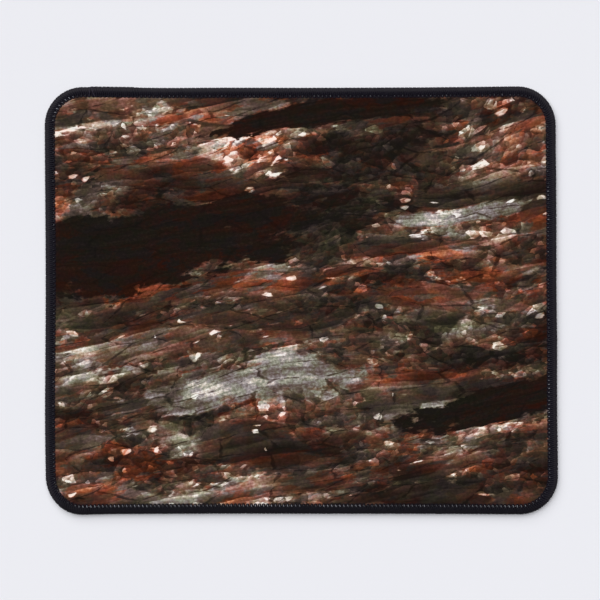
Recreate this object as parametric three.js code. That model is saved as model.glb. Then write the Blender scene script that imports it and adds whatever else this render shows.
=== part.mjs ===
// A cloth-faced mouse pad with an overlocked (serged) edge, lying flat.
//
// Units are millimetres. +Z is up, +X runs along the long side and +Y towards the back edge. The origin
// is the middle of the underside, on the surface that the pad lies on.
//
// The pad is a sheet of natural rubber with a printed cloth bonded to its top. Black thread is sewn
// round the whole edge in a three-thread overlock: an upper looper thread covers the top of the rim, a
// lower looper thread covers the bottom, the two lock into each other halfway down the side, and a
// needle thread runs round on top and holds both. Where the thread grips the rim, it squeezes the sheet
// thinner.
//
// Each solid is a section swept round one shared outline. A section is a list of points [inset,
// height]: inset is measured inwards from the outermost line of the edge and height upwards from the
// underside.
import * as THREE from "three";
import { ParametricGeometry } from "three/addons/geometries/ParametricGeometry.js";
import { mergeGeometries, mergeVertices } from "three/addons/utils/BufferGeometryUtils.js";

// --- Driving dimensions ------------------------------------------------------------------------------
const PAD_WIDTH = 240; // along X, over the thread
const PAD_DEPTH = 200; // along Y, over the thread
const CORNER_RADIUS = 18; // of the outermost line of the edge
const SIDE_DRAW_IN = 0.35; // how far the sewing draws the middle of each side inwards

const RUBBER_THICKNESS = 2.6;
const CLOTH_THICKNESS = 0.4;

const BINDING_WIDTH = 5; // of the sewn band, from the outermost line to the tips of the loops
const THREAD_COVER = 0.6; // how deep the cut edge of the sheet lies behind the thread
const GRIP_WIDTH = 4.6; // the sheet is squeezed fully from its cut edge to this inset
const EASE_WIDTH = 6; // the sheet has its full thickness again at this inset
const TOP_SQUEEZE = 0.2; // how far the thread presses the cloth down
const BOTTOM_SQUEEZE = 0.4; // how far the thread presses the rubber up
const TIP_TOP_SQUEEZE = 0.1; // the same at the tips of the loops
const TIP_BOTTOM_SQUEEZE = 0.12;

const CROWN_RISE = 0.4; // the crest of the sewn band above the cloth
const CREST_INSET = 2.4;
const TIP_RISE = 0.16; // the loop tips above the cloth
const TIP_ROUND = 0.3; // how far in from the tips the loops curve down to the cloth
const LOCK_HEIGHT = 1.7; // where the two looper threads lock into each other on the side
const FLANK_HEIGHT = 0.4; // of the upright stretch of the side, half of it above the lock
const FOOT_INNER = 4.3; // the band lies flat on the surface below from this inset
const FOOT_OUTER = 1.4; // out to this one

const NEEDLE_LINE = 4.2; // inset of the needle thread
const NEEDLE_WIDTH = 0.4;
const NEEDLE_RISE = 0.26; // of the needle thread above the floor of its groove
const GROOVE_FLARE = 0.05; // how far the groove's walls lean back from the needle thread

// --- Mesh fineness -----------------------------------------------------------------------------------
const SIDE_STEPS = 10; // steps along each side
const CORNER_STEPS = 10; // steps round each corner
const SMALL_ROUND_STEPS = 3; // steps along a small round of a section
const LARGE_ROUND_STEPS = 6; // steps along a large one
const SAME_PLACE = 1e-4; // vertices closer together than this become one
const ROUNDING = 1e-6; // keeps a step count from falling short by one

// --- Heights worked out from the dimensions ----------------------------------------------------------
const SHEET_TOP = RUBBER_THICKNESS + CLOTH_THICKNESS;
const GRIPPED_TOP = SHEET_TOP - TOP_SQUEEZE;
const CROWN_TOP = SHEET_TOP + CROWN_RISE;
const TIP_TOP = SHEET_TOP + TIP_RISE;
const GROOVE_FLOOR = SHEET_TOP;
const FLANK_TOP = LOCK_HEIGHT + FLANK_HEIGHT / 2;
const FLANK_BOTTOM = LOCK_HEIGHT - FLANK_HEIGHT / 2;
const NEEDLE_INNER = NEEDLE_LINE + NEEDLE_WIDTH / 2;
const NEEDLE_OUTER = NEEDLE_LINE - NEEDLE_WIDTH / 2;

// --- The outline -------------------------------------------------------------------------------------

// Walks round the pad counter-clockwise, seen from above, side by side and corner by corner. Each
// station holds a point on the outermost line and the direction that faces outwards there.
function outlineStations() {
  const stations = [];
  for (let side = 0; side < 4; side++) {
    const facing = (side * Math.PI) / 2;
    const outward = new THREE.Vector2(Math.round(Math.cos(facing)), Math.round(Math.sin(facing)));
    const along = new THREE.Vector2(-outward.y, outward.x);
    const reach = (side % 2 === 0 ? PAD_WIDTH : PAD_DEPTH) / 2;
    const halfLength = (side % 2 === 0 ? PAD_DEPTH : PAD_WIDTH) / 2 - CORNER_RADIUS;
    for (let step = 0; step <= SIDE_STEPS; step++) {
      const share = (2 * step) / SIDE_STEPS - 1;
      const drawnIn = SIDE_DRAW_IN * Math.cos((share * Math.PI) / 2) ** 2;
      const point = outward
        .clone()
        .multiplyScalar(reach - drawnIn)
        .addScaledVector(along, share * halfLength);
      stations.push({ point, outward });
    }
    const centre = outward
      .clone()
      .multiplyScalar(reach - CORNER_RADIUS)
      .addScaledVector(along, halfLength);
    for (let step = 1; step < CORNER_STEPS; step++) {
      const turn = facing + (step / CORNER_STEPS) * (Math.PI / 2);
      const direction = new THREE.Vector2(Math.cos(turn), Math.sin(turn));
      const point = centre.clone().addScaledVector(direction, CORNER_RADIUS);
      stations.push({ point, outward: direction });
    }
  }
  return stations;
}

const STATIONS = outlineStations();

// The point at a station, moved inwards by an inset and raised to a height.
function pointAt(station, [inset, height]) {
  const { point, outward } = STATIONS[station % STATIONS.length];
  return new THREE.Vector3(point.x - outward.x * inset, point.y - outward.y * inset, height);
}

// The surface that a section makes as it goes once round the outline. It passes through the section's
// points and runs straight between them.
function sweptSurface(section) {
  const rows = section.length - 1;
  const surface = (around, across, target) => {
    const station = Math.min(Math.floor(around * STATIONS.length + ROUNDING), STATIONS.length - 1);
    const row = Math.min(Math.floor(across * rows + ROUNDING), rows - 1);
    const stationShare = around * STATIONS.length - station;
    const rowShare = across * rows - row;
    const near = pointAt(station, section[row]).lerp(pointAt(station, section[row + 1]), rowShare);
    const far = pointAt(station + 1, section[row]).lerp(pointAt(station + 1, section[row + 1]), rowShare);
    target.copy(near.lerp(far, stationShare));
  };
  return new ParametricGeometry(surface, STATIONS.length, rows);
}

// A flat face that fills the outline at an inset and a height, facing up or down.
function flatFace([inset, height], facesUp) {
  const corners = STATIONS.map((_, station) => pointAt(station, [inset, height]));
  const face = new THREE.ShapeGeometry(new THREE.Shape(corners.map(({ x, y }) => new THREE.Vector2(x, y))));
  face.translate(0, 0, height);
  if (!facesUp) face.index.array.reverse();
  return face;
}

// Keeps the positions alone, so that vertices at one place become one.
function closed(geometry) {
  geometry.deleteAttribute("normal");
  geometry.deleteAttribute("uv");
  const merged = mergeVertices(geometry, SAME_PLACE);
  merged.computeVertexNormals();
  return merged;
}

// A closed section swept all the way round: a ring. The section is listed counter-clockwise, as it is
// drawn with the inset to the right and the height upwards.
function ring(section) {
  return closed(sweptSurface([...section, section[0]].reverse()));
}

// A sheet: its rim is an open section, from the edge of the lower flat face round to the edge of the
// upper one.
function sheet(rim) {
  const lower = flatFace(rim[0], false);
  const upper = flatFace(rim[rim.length - 1], true);
  return closed(mergeGeometries([sweptSurface(rim), lower, upper]));
}

// The points of a section's round stretch between two of its points. It is a parabola that leaves each
// of them towards the corner that it rounds off.
function rounded(from, corner, to, steps) {
  const points = [from, corner, to].map(([inset, height]) => new THREE.Vector2(inset, height));
  const curve = new THREE.QuadraticBezierCurve(...points);
  return curve.getPoints(steps).map(({ x, y }) => [x, y]);
}

function piece(name, geometry, color, roughness) {
  const material = new THREE.MeshStandardMaterial({ color, roughness, metalness: 0 });
  const mesh = new THREE.Mesh(geometry, material);
  mesh.name = name;
  return mesh;
}

// --- The sheet ---------------------------------------------------------------------------------------

// Where the top of the sheet runs under the upper thread, from the full thickness out to the cut edge.
// The cloth's own underside follows it, one cloth thickness lower.
const topCourse = [
  [EASE_WIDTH, SHEET_TOP],
  [BINDING_WIDTH, SHEET_TOP - TIP_TOP_SQUEEZE],
  [GRIP_WIDTH, GRIPPED_TOP],
  [THREAD_COVER, GRIPPED_TOP],
];
const bondCourse = topCourse.map(([inset, height]) => [inset, height - CLOTH_THICKNESS]);

// Where the underside of the rubber runs over the lower thread.
const bottomCourse = [
  [EASE_WIDTH, 0],
  [BINDING_WIDTH, TIP_BOTTOM_SQUEEZE],
  [GRIP_WIDTH, BOTTOM_SQUEEZE],
  [THREAD_COVER, BOTTOM_SQUEEZE],
];

// The lock height is a point of the rubber's cut edge too, because the two threads meet there.
function rubberBase() {
  const rim = [...bottomCourse, [THREAD_COVER, LOCK_HEIGHT], ...[...bondCourse].reverse()];
  return piece("rubber_base", sheet(rim), 0x1b1b1c, 0.9);
}

function clothTop() {
  return piece("cloth_top", sheet([...bondCourse, ...[...topCourse].reverse()]), 0x4e3b32, 0.85);
}

// --- The sewn edge -----------------------------------------------------------------------------------

// Everything that the upper looper thread fills: over the rim from the loop tips, past the groove that
// the needle thread presses into it, over the crest, and down the side to the lock.
function upperLooperThread() {
  const tip = [BINDING_WIDTH, SHEET_TOP - TIP_TOP_SQUEEZE];
  const tipBack = [BINDING_WIDTH - TIP_ROUND, TIP_TOP];
  const grooveEdge = [NEEDLE_OUTER - GROOVE_FLARE, TIP_TOP];
  const crest = [CREST_INSET, CROWN_TOP];
  const flank = [0, FLANK_TOP];
  const section = [
    [THREAD_COVER, LOCK_HEIGHT],
    [THREAD_COVER, GRIPPED_TOP],
    [GRIP_WIDTH, GRIPPED_TOP],
    ...rounded(tip, [BINDING_WIDTH, TIP_TOP], tipBack, SMALL_ROUND_STEPS),
    [NEEDLE_INNER + GROOVE_FLARE, TIP_TOP],
    [NEEDLE_INNER, GROOVE_FLOOR],
    [NEEDLE_OUTER, GROOVE_FLOOR],
    ...rounded(grooveEdge, [(CREST_INSET + NEEDLE_OUTER) / 2, CROWN_TOP], crest, SMALL_ROUND_STEPS),
    ...rounded(crest, [0, CROWN_TOP], flank, LARGE_ROUND_STEPS).slice(1),
    [0, LOCK_HEIGHT],
  ];
  return piece("upper_looper_thread", ring(section), 0x1c1a22, 0.8);
}

// Everything that the lower looper thread fills: from the lock down the side and under the rim, where
// it is pressed flat against the surface below, to the loop tips.
function lowerLooperThread() {
  const footInner = [FOOT_INNER, 0];
  const tip = [BINDING_WIDTH, TIP_BOTTOM_SQUEEZE];
  const section = [
    [THREAD_COVER, LOCK_HEIGHT],
    [0, LOCK_HEIGHT],
    ...rounded([0, FLANK_BOTTOM], [0, 0], [FOOT_OUTER, 0], LARGE_ROUND_STEPS),
    ...rounded(footInner, [BINDING_WIDTH, 0], tip, SMALL_ROUND_STEPS),
    [GRIP_WIDTH, BOTTOM_SQUEEZE],
    [THREAD_COVER, BOTTOM_SQUEEZE],
  ];
  return piece("lower_looper_thread", ring(section), 0x1c1a22, 0.8);
}

// The line of needle stitches that lies in the groove.
function needleThread() {
  const outer = [NEEDLE_OUTER, GROOVE_FLOOR];
  const inner = [NEEDLE_INNER, GROOVE_FLOOR];
  const top = [NEEDLE_LINE, GROOVE_FLOOR + NEEDLE_RISE];
  const section = [
    outer,
    ...rounded(inner, [inner[0], top[1]], top, SMALL_ROUND_STEPS),
    ...rounded(top, [outer[0], top[1]], outer, SMALL_ROUND_STEPS).slice(1, -1),
  ];
  return piece("needle_thread", ring(section), 0x24222b, 0.6);
}

// --- The pad -----------------------------------------------------------------------------------------
const mousePad = new THREE.Group();
mousePad.name = "mouse_pad";

const laminate = new THREE.Group();
laminate.name = "laminate";
laminate.add(rubberBase(), clothTop());

const overlock = new THREE.Group();
overlock.name = "overlock";
overlock.add(upperLooperThread(), lowerLooperThread(), needleThread());

mousePad.add(laminate, overlock);

export default mousePad;
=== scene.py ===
"""A cloth-faced mouse pad with an overlocked edge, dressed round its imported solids.

Lengths are metres, apart from names that end in _mm and classes that say they are in millimetres. The pad
lies flat on the floor at height zero, with +X along its long side and +Y towards its back edge. Sizes that
the solids share are read from the frame.
"""

import logging
import math
from collections.abc import Sequence
from dataclasses import dataclass
from enum import Enum
from functools import cached_property, partial, reduce

import bmesh
import bpy
import numpy as np
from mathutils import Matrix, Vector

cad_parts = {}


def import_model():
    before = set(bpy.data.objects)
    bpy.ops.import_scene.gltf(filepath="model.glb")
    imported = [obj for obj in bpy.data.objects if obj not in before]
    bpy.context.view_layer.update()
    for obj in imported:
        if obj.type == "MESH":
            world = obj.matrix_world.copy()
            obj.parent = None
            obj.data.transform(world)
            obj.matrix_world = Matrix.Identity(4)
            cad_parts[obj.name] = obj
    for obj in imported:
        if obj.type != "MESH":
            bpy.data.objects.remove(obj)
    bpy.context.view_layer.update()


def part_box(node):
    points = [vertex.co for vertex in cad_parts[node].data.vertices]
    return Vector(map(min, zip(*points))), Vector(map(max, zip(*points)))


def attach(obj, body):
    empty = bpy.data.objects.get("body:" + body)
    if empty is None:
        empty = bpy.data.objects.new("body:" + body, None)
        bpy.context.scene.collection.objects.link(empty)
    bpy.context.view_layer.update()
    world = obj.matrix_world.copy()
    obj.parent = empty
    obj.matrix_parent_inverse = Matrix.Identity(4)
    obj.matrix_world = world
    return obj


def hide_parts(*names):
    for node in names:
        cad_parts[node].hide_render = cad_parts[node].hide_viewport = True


LOG = logging.getLogger("mouse_pad")
MM = 1e-3

# The map that runs along a thread, and the attribute that says how far inside the outline a vertex lies.
WALK_MAP = "walk"
INSET = "inset"

# The width of the solid that stands for the line of needle stitches.
NEEDLE_LINE_WIDTH = 0.4 * MM

Colour = tuple[float, float, float, float]
Socket = bpy.types.NodeSocket
Value = float | tuple | Socket
Stops = tuple[tuple[float, Colour], ...]
Step = tuple[float, ...]

UP = np.array([0.0, 0.0, 1.0])
WHITE: Colour = (1.0, 1.0, 1.0, 1.0)


# --- Shapes as arrays ------------------------------------------------------------------------------------


def smooth_through(rows: np.ndarray, share: np.ndarray) -> np.ndarray:
    """Follows a smooth curve through the rows of a table.

    Between two rows it is the cubic that meets each row with the slope of the parabola through that row and
    its two neighbours, over a parameter that grows with the distance between the rows' first two columns.

    Args:
        rows: the points, one a row, whose first two columns are lengths.
        share: where to read the curve, from 0 at the first row to 1 at the last.

    Returns:
        One row for each entry of share.
    """
    steps = np.linalg.norm(np.diff(rows[:, :2], axis=0), axis=1)
    knots = np.concatenate([[0.0], np.cumsum(steps)]) / steps.sum()
    slopes = np.gradient(rows, knots, axis=0)
    left = np.clip(np.searchsorted(knots, share, side="right") - 1, 0, len(knots) - 2)
    width = (knots[left + 1] - knots[left])[:, None]
    t = (share[:, None] - knots[left][:, None]) / width
    ends = (2 * t**3 - 3 * t**2 + 1) * rows[left] + (3 * t**2 - 2 * t**3) * rows[left + 1]
    return ends + width * ((t**3 - 2 * t**2 + t) * slopes[left] + (t**3 - t**2) * slopes[left + 1])


def eased(value: np.ndarray, low: float, high: float) -> np.ndarray:
    """A smooth step: 0 below low, 1 above high and 3t^2 - 2t^3 of the share t between them."""
    t = np.clip((value - low) / (high - low), 0.0, 1.0)
    return t * t * (3 - 2 * t)


def unit(vectors: np.ndarray) -> np.ndarray:
    """Each vector divided by its own length."""
    return vectors / np.linalg.norm(vectors, axis=-1, keepdims=True)


def wrapped_quads(rows: int, columns: int) -> np.ndarray:
    """Numbers the corners of the quads of a grid whose last column joins its first.

    Args:
        rows: how many rows of vertices the grid has.
        columns: how many vertices a row has.

    Returns:
        Four vertex numbers for each quad.
    """
    here = np.arange(rows - 1)[:, None] * columns
    column = np.arange(columns)[None, :]
    after = (column + 1) % columns
    corners = [here + column, here + columns + column, here + columns + after, here + after]
    return np.stack(corners, axis=-1).reshape(-1, 4)


@dataclass(frozen=True)
class Pull:
    """A place where the pad was cut or sewn a little off its true line, in millimetres."""

    x: float
    y: float
    reach: float
    aside_x: float
    aside_y: float

    def shift(self, points: np.ndarray) -> np.ndarray:
        """How far each point moves in x and y: the step aside times e^-(distance/reach)^2."""
        away = (points[:, :2] / MM - np.array([self.x, self.y])) / self.reach
        return np.exp(-(away**2).sum(axis=1))[:, None] * np.array([self.aside_x, self.aside_y]) * MM


PULLS = (
    Pull(120, 88, 42, -0.72, 0.0),
    Pull(104, 100, 24, 0.0, 0.28),
    Pull(-64, 100, 20, 0.0, -0.30),
    Pull(-120, 30, 45, 0.13, 0.0),
    Pull(-120, -88, 22, 0.50, 0.0),
    Pull(-111, -98, 14, 0.0, -0.50),
    Pull(8, -100, 38, 0.0, -0.20),
    Pull(120, -88, 34, 0.34, -0.18),
    Pull(120, -20, 18, 0.28, 0.0),
)


def uneven(points: np.ndarray) -> np.ndarray:
    """The points moved aside by every pull, so that all layers of the pad keep together."""
    return points + np.pad(sum(pull.shift(points) for pull in PULLS), ((0, 0), (0, 1)))


def mesh_of(
    name: str,
    points: np.ndarray,
    quads: np.ndarray,
    caps: Sequence[np.ndarray] = (),
    uv: np.ndarray | None = None,
) -> bpy.types.Object:
    """Makes a smooth-shaded mesh object at the origin from whole arrays, with the pad's unevenness in it.

    Args:
        name: the piece's name.
        points: one row of x, y and z for each vertex.
        quads: four vertex numbers for each quad.
        caps: the vertex numbers of further faces, each of one polygon.
        uv: two map coordinates for each corner of each face, in the order of the faces.

    Returns:
        The new object, linked to the scene.
    """
    sizes = np.concatenate([np.full(len(quads), 4), [len(cap) for cap in caps]]).astype(np.int32)
    starts = np.concatenate([[0], np.cumsum(sizes)[:-1]]).astype(np.int32)
    corners = np.concatenate([quads.ravel(), *caps]).astype(np.int32)
    mesh = bpy.data.meshes.new(name)
    mesh.vertices.add(len(points))
    mesh.vertices.foreach_set("co", uneven(points).astype(np.float32).ravel())
    mesh.loops.add(len(corners))
    mesh.loops.foreach_set("vertex_index", corners)
    mesh.polygons.add(len(sizes))
    mesh.polygons.foreach_set("loop_start", starts)
    if uv is not None:
        mesh.uv_layers.new(name=WALK_MAP).data.foreach_set("uv", uv.astype(np.float32).ravel())
    mesh.update(calc_edges=True)
    mesh.shade_smooth()
    piece = bpy.data.objects.new(name, mesh)
    bpy.context.scene.collection.objects.link(piece)
    return piece


def carry_inset(piece: bpy.types.Object, inset: np.ndarray) -> None:
    """Writes on each vertex how far inside the outline it lies, in millimetres, for the finishes to read."""
    carried = piece.data.attributes.new(INSET, "FLOAT", "POINT")
    carried.data.foreach_set("value", (inset / MM).astype(np.float32))


# --- The pad's outline and seam --------------------------------------------------------------------------


@dataclass(frozen=True)
class Outline:
    """The outermost line of the pad: a rounded rectangle whose sides are drawn in a little by the sewing."""

    half_width: float
    half_depth: float
    corner_radius: float = 18 * MM
    side_draw_in: float = 0.35 * MM

    @cached_property
    def reaches(self) -> np.ndarray:
        """How far the right, back, left and front sides lie from the middle."""
        return np.array([self.half_width, self.half_depth] * 2)

    @cached_property
    def half_lengths(self) -> np.ndarray:
        """Half the straight length of each side, in the same order."""
        return np.array([self.half_depth, self.half_width] * 2) - self.corner_radius

    def stretches(self, inset: float) -> np.ndarray:
        """Lengths of the eight stretches, each side before its corner, along the line at an inset."""
        arc = (self.corner_radius - inset) * math.pi / 2
        return np.stack([2 * self.half_lengths, np.full(4, arc)], axis=-1).ravel()

    def at(self, stretch: np.ndarray, share: np.ndarray) -> tuple[np.ndarray, np.ndarray]:
        """Finds points of the outline.

        A side is a straight line, pushed inwards by the square of a cosine that is 1 in its middle. A corner
        is a quarter circle.

        Args:
            stretch: which of the eight stretches each point is on.
            share: how far along its stretch each point is, from 0 to 1.

        Returns:
            The points and the outward directions there, as rows of x and y.
        """
        side, in_corner = stretch // 2, stretch % 2 == 1
        facing = side * math.pi / 2
        out = np.stack([np.cos(facing), np.sin(facing)], axis=-1)
        along = np.stack([-out[..., 1], out[..., 0]], axis=-1)
        across = np.where(in_corner, 1.0, 2 * share - 1)
        drawn_in = np.where(in_corner, 0.0, self.side_draw_in * np.cos(across * math.pi / 2) ** 2)
        centre = out * (self.reaches[side] - self.corner_radius - drawn_in)[..., None]
        centre += along * (self.half_lengths[side] * across)[..., None]
        turn = facing + np.where(in_corner, share, 0.0) * math.pi / 2
        outward = np.stack([np.cos(turn), np.sin(turn)], axis=-1)
        return centre + outward * self.corner_radius, outward

    def locate(self, distance: np.ndarray, inset: float) -> tuple[np.ndarray, np.ndarray, np.ndarray]:
        """Finds the stretch that each place of a walk round the line at an inset is on.

        Args:
            distance: how far the walk has gone, counter-clockwise from the front end of the right side.
            inset: how far inside the outline the walk goes.

        Returns:
            The stretch, how far along it the place is, and how long it is.
        """
        lengths = self.stretches(inset)
        ends = np.cumsum(lengths)
        gone = np.mod(distance, ends[-1])
        stretch = np.minimum(np.searchsorted(ends, gone, side="right"), len(ends) - 1)
        return stretch, gone - (ends - lengths)[stretch], lengths[stretch]

    def walk(self, distance: np.ndarray, inset: float) -> tuple[np.ndarray, np.ndarray]:
        """The outline's points and outward directions beside each place of such a walk."""
        stretch, past, length = self.locate(distance, inset)
        return self.at(stretch, past / length)

    def inset_of(self, points: np.ndarray) -> np.ndarray:
        """Measures how far inside a plain rounded rectangle of this size points lie.

        Outside the rectangle between the corners' centres that is the corner radius less the distance to it.
        Inside, it is the radius plus the distance to its nearest side.

        Args:
            points: rows of x and y.

        Returns:
            The inset of each, which is negative outside.
        """
        beyond = np.abs(points) - (self.reaches[:2] - self.corner_radius)
        outside = np.linalg.norm(np.maximum(beyond, 0.0), axis=-1)
        return self.corner_radius - outside - np.minimum(beyond.max(axis=-1), 0.0)


@dataclass(frozen=True)
class PadSizes:
    """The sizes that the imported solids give, with heights above the floor and insets from the outline."""

    outline: Outline
    sheet_top: float
    bond: float
    lock: float
    thread_cover: float
    needle_inset: float

    @classmethod
    def from_frame(cls) -> "PadSizes":
        """Reads the sizes from the boxes of the solids.

        Returns:
            The sizes.
        """
        upper_low, upper_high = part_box("upper_looper_thread")
        cloth_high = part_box("cloth_top")[1]
        needle_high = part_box("needle_thread")[1]
        return cls(
            outline=Outline(upper_high.x, upper_high.y),
            sheet_top=cloth_high.z,
            bond=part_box("rubber_base")[1].z,
            lock=upper_low.z,
            thread_cover=upper_high.x - cloth_high.x,
            needle_inset=upper_high.x - needle_high.x + NEEDLE_LINE_WIDTH / 2,
        )


@dataclass(frozen=True)
class Seam:
    """The line of stitches round the rim. Places on it are counted in stitches from where the sewing starts.

    It runs on over its own start for a few stitches, in a second layer that is reached along a short slope
    and whose stitches are set aside from those of the first.
    """

    sizes: PadSizes
    stitch_aim: float = 1.88 * MM
    start_x: float = -77 * MM
    overlap: int = 11
    slope: float = 0.8
    second_shift: float = 0.25

    @cached_property
    def length(self) -> float:
        """Once round the pad along the needle's line."""
        return float(self.sizes.outline.stretches(self.sizes.needle_inset).sum())

    @cached_property
    def count(self) -> int:
        """The whole number of stitches that comes nearest to the length aimed at."""
        return round(self.length / self.stitch_aim)

    @property
    def sewn(self) -> int:
        """How many stitches there are with the overlap."""
        return self.count + self.overlap

    @property
    def stitch(self) -> float:
        """The length of one stitch."""
        return self.length / self.count

    @cached_property
    def start(self) -> float:
        """How far round the start lies, on the back side."""
        stretches = self.sizes.outline.stretches(self.sizes.needle_inset)
        return float(stretches[0] + stretches[1] + self.sizes.outline.half_lengths[1] - self.start_x)

    def second_layer(self, stitches: np.ndarray) -> np.ndarray:
        """0 on the first layer of stitches and 1 on the second."""
        return eased(stitches, self.count - self.slope, self.count + self.slope)

    def place(
        self, stitches: np.ndarray, inset: np.ndarray, height: np.ndarray
    ) -> tuple[np.ndarray, np.ndarray]:
        """Turns places on the seam into points.

        Args:
            stitches: how many stitches past the start each place is.
            inset: how far inside the outline it is.
            height: how far above the floor it is.

        Returns:
            The points and the outward directions there, as rows of x, y and z.
        """
        line, outward = self.sizes.outline.walk(self.start + stitches * self.stitch, self.sizes.needle_inset)
        point = np.column_stack([line - outward * inset[:, None], height])
        return point, np.column_stack([outward, np.zeros(len(outward))])

    def spread(self, stitches: np.ndarray, inset: np.ndarray) -> np.ndarray:
        """Measures how stitches fan out round the corners.

        There a stitch is wider by the ratio of its arc's radius to that of the needle's arc. This comes in
        smoothly, from a stitch before the corner to half a stitch inside it.

        Args:
            stitches: how many stitches past the start each place is.
            inset: how far inside the outline it is.

        Returns:
            How much wider than at the needle a stitch is there.
        """
        outline, needle_inset = self.sizes.outline, self.sizes.needle_inset
        stretch, past, length = outline.locate(self.start + stitches * self.stitch, needle_inset)
        fan = (outline.corner_radius - inset) / (outline.corner_radius - needle_inset)
        from_joint = np.minimum(past, length - past)
        into_corner = np.where(stretch % 2 == 1, from_joint, -from_joint)
        return 1 + (fan - 1) * eased(into_corner, -self.stitch, 0.5 * self.stitch)


# --- Node recipes ----------------------------------------------------------------------------------------


def dye(red: int, green: int, blue: int) -> Colour:
    """Turns a colour as a screen shows it into the linear colour that a shader takes.

    Below 0.04045 the linear value is the shown one over 12.92. Above, 0.055 is added to the shown one, and
    the sum over 1.055 is raised to the power 2.4.

    Args:
        red: the red channel, from 0 to 255.
        green: the green channel.
        blue: the blue channel.

    Returns:
        The linear colour.
    """
    shown = np.array([red, green, blue]) / 255
    linear = np.where(shown <= 0.04045, shown / 12.92, ((shown + 0.055) / 1.055) ** 2.4)
    return (*linear.tolist(), 1.0)


def toned(colour: Colour, factor: float) -> Colour:
    """The colour made lighter or darker by a factor."""
    return tuple(factor * channel for channel in colour[:3]) + (1.0,)


class Recipe:
    """The node tree of one material, with short calls that each add a node and join what it reads."""

    def __init__(self, name: str) -> None:
        """Starts an empty material.

        Args:
            name: the material's name.
        """
        self.material = bpy.data.materials.new(name)
        self.material.use_nodes = True
        self.tree = self.material.node_tree
        self.tree.nodes.clear()

    def node(
        self, kind: str, inputs: dict[str | int, Value] | None = None, **settings: object
    ) -> bpy.types.Node:
        """Adds a shader node.

        Args:
            kind: the end of the node's type name.
            inputs: the socket or the constant that each input takes, by the input's name or number.
            settings: the node's settings, by name.

        Returns:
            The node.
        """
        added = self.tree.nodes.new("ShaderNode" + kind)
        for name, value in settings.items():
            setattr(added, name, value)
        for place, value in (inputs or {}).items():
            if isinstance(value, Socket):
                self.tree.links.new(value, added.inputs[place])
            else:
                added.inputs[place].default_value = value
        return added

    def place(self) -> Socket:
        """Where on the piece a point is, in metres."""
        return self.node("TexCoord").outputs["Object"]

    def inset(self) -> Socket:
        """How far inside the outline a point is, in millimetres."""
        return self.node("Attribute", attribute_name=INSET).outputs["Fac"]

    def math(self, operation: str, *values: Value) -> Socket:
        """Works out one number from others."""
        return self.node("Math", dict(enumerate(values)), operation=operation).outputs[0]

    def sum_of(self, *values: Value) -> Socket:
        """Adds numbers up."""
        return reduce(partial(self.math, "ADD"), values)

    def product(self, *values: Value) -> Socket:
        """Multiplies numbers."""
        return reduce(partial(self.math, "MULTIPLY"), values)

    def weighed(self, *pairs: tuple[Value, float]) -> Socket:
        """Adds up numbers, each times its weight."""
        return self.sum_of(*(self.product(value, weight) for value, weight in pairs))

    def vector(self, operation: str, *values: Value) -> Socket:
        """Works out one vector from others."""
        return self.node("VectorMath", dict(enumerate(values)), operation=operation).outputs[0]

    def scaled(self, vector: Socket, factor: Value) -> Socket:
        """Multiplies a vector by a number."""
        return self.node("VectorMath", {0: vector, "Scale": factor}, operation="SCALE").outputs[0]

    def squared_length(self, vector: Socket) -> Socket:
        """The squared length of a vector."""
        return self.node("VectorMath", {0: vector, 1: vector}, operation="DOT_PRODUCT").outputs["Value"]

    def parts(self, vector: Socket) -> tuple[Socket, Socket, Socket]:
        """Splits a vector into x, y and z."""
        outputs = self.node("SeparateXYZ", {0: vector}).outputs
        return outputs[0], outputs[1], outputs[2]

    def noise(
        self,
        at: Socket,
        per_unit: tuple[float, float, float],
        detail: float,
        roughness: float,
        colour: bool = False,
        dimensions: str = "2D",
    ) -> Socket:
        """Adds fractal noise.

        Args:
            at: where it is read.
            per_unit: how many lumps lie along a unit of x, y and z.
            detail: how many finer layers it has.
            roughness: how strong each finer layer is beside the one before.
            colour: whether to give three independent numbers instead of one.
            dimensions: whether it reads x and y alone, or z as well.

        Returns:
            The noise, mostly from 0.3 to 0.7.
        """
        scaled = self.vector("MULTIPLY", at, per_unit)
        inputs = {"Vector": scaled, "Scale": 1.0, "Detail": detail, "Roughness": roughness}
        added = self.node("TexNoise", inputs, noise_dimensions=dimensions, normalize=True)
        return added.outputs["Color" if colour else "Fac"]

    def cells(self, at: Socket, per_unit: tuple[float, float, float], feature: str = "F1") -> bpy.types.Node:
        """Adds a pattern of irregular cells, as many a unit along x, y and z."""
        inputs = {"Vector": self.vector("MULTIPLY", at, per_unit), "Scale": 1.0}
        return self.node("TexVoronoi", inputs, voronoi_dimensions="2D", feature=feature)

    def remap(
        self, value: Value, low: float, high: float, to_low: float = 0.0, to_high: float = 1.0
    ) -> Socket:
        """Carries low to to_low and high to to_high along a smooth step, and holds them beyond."""
        inputs = {"Value": value, "From Min": low, "From Max": high, "To Min": to_low, "To Max": to_high}
        return self.node("MapRange", inputs, interpolation_type="SMOOTHSTEP").outputs[0]

    def blend(self, factor: Value, first: Value, second: Value) -> Socket:
        """Mixes two numbers."""
        return self.node("Mix", {0: factor, 2: first, 3: second}, data_type="FLOAT").outputs[0]

    def mix(self, factor: Value, first: Value, second: Value, blend: str = "MIX") -> Socket:
        """Mixes two colours."""
        inputs = {0: factor, 6: first, 7: second}
        return self.node("Mix", inputs, data_type="RGBA", blend_type=blend).outputs[2]

    def ramp(self, value: Socket, stops: Stops) -> Socket:
        """Reads a colour between stops.

        Args:
            value: the value to read at.
            stops: each a value and its colour, in rising order.

        Returns:
            The colour.
        """
        added = self.node("ValToRGB", {0: value})
        elements = added.color_ramp.elements
        while len(elements) < len(stops):
            elements.new(1.0)
        for element, (position, colour) in zip(elements, stops):
            element.position = position
            element.color = colour
        return added.outputs[0]

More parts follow.
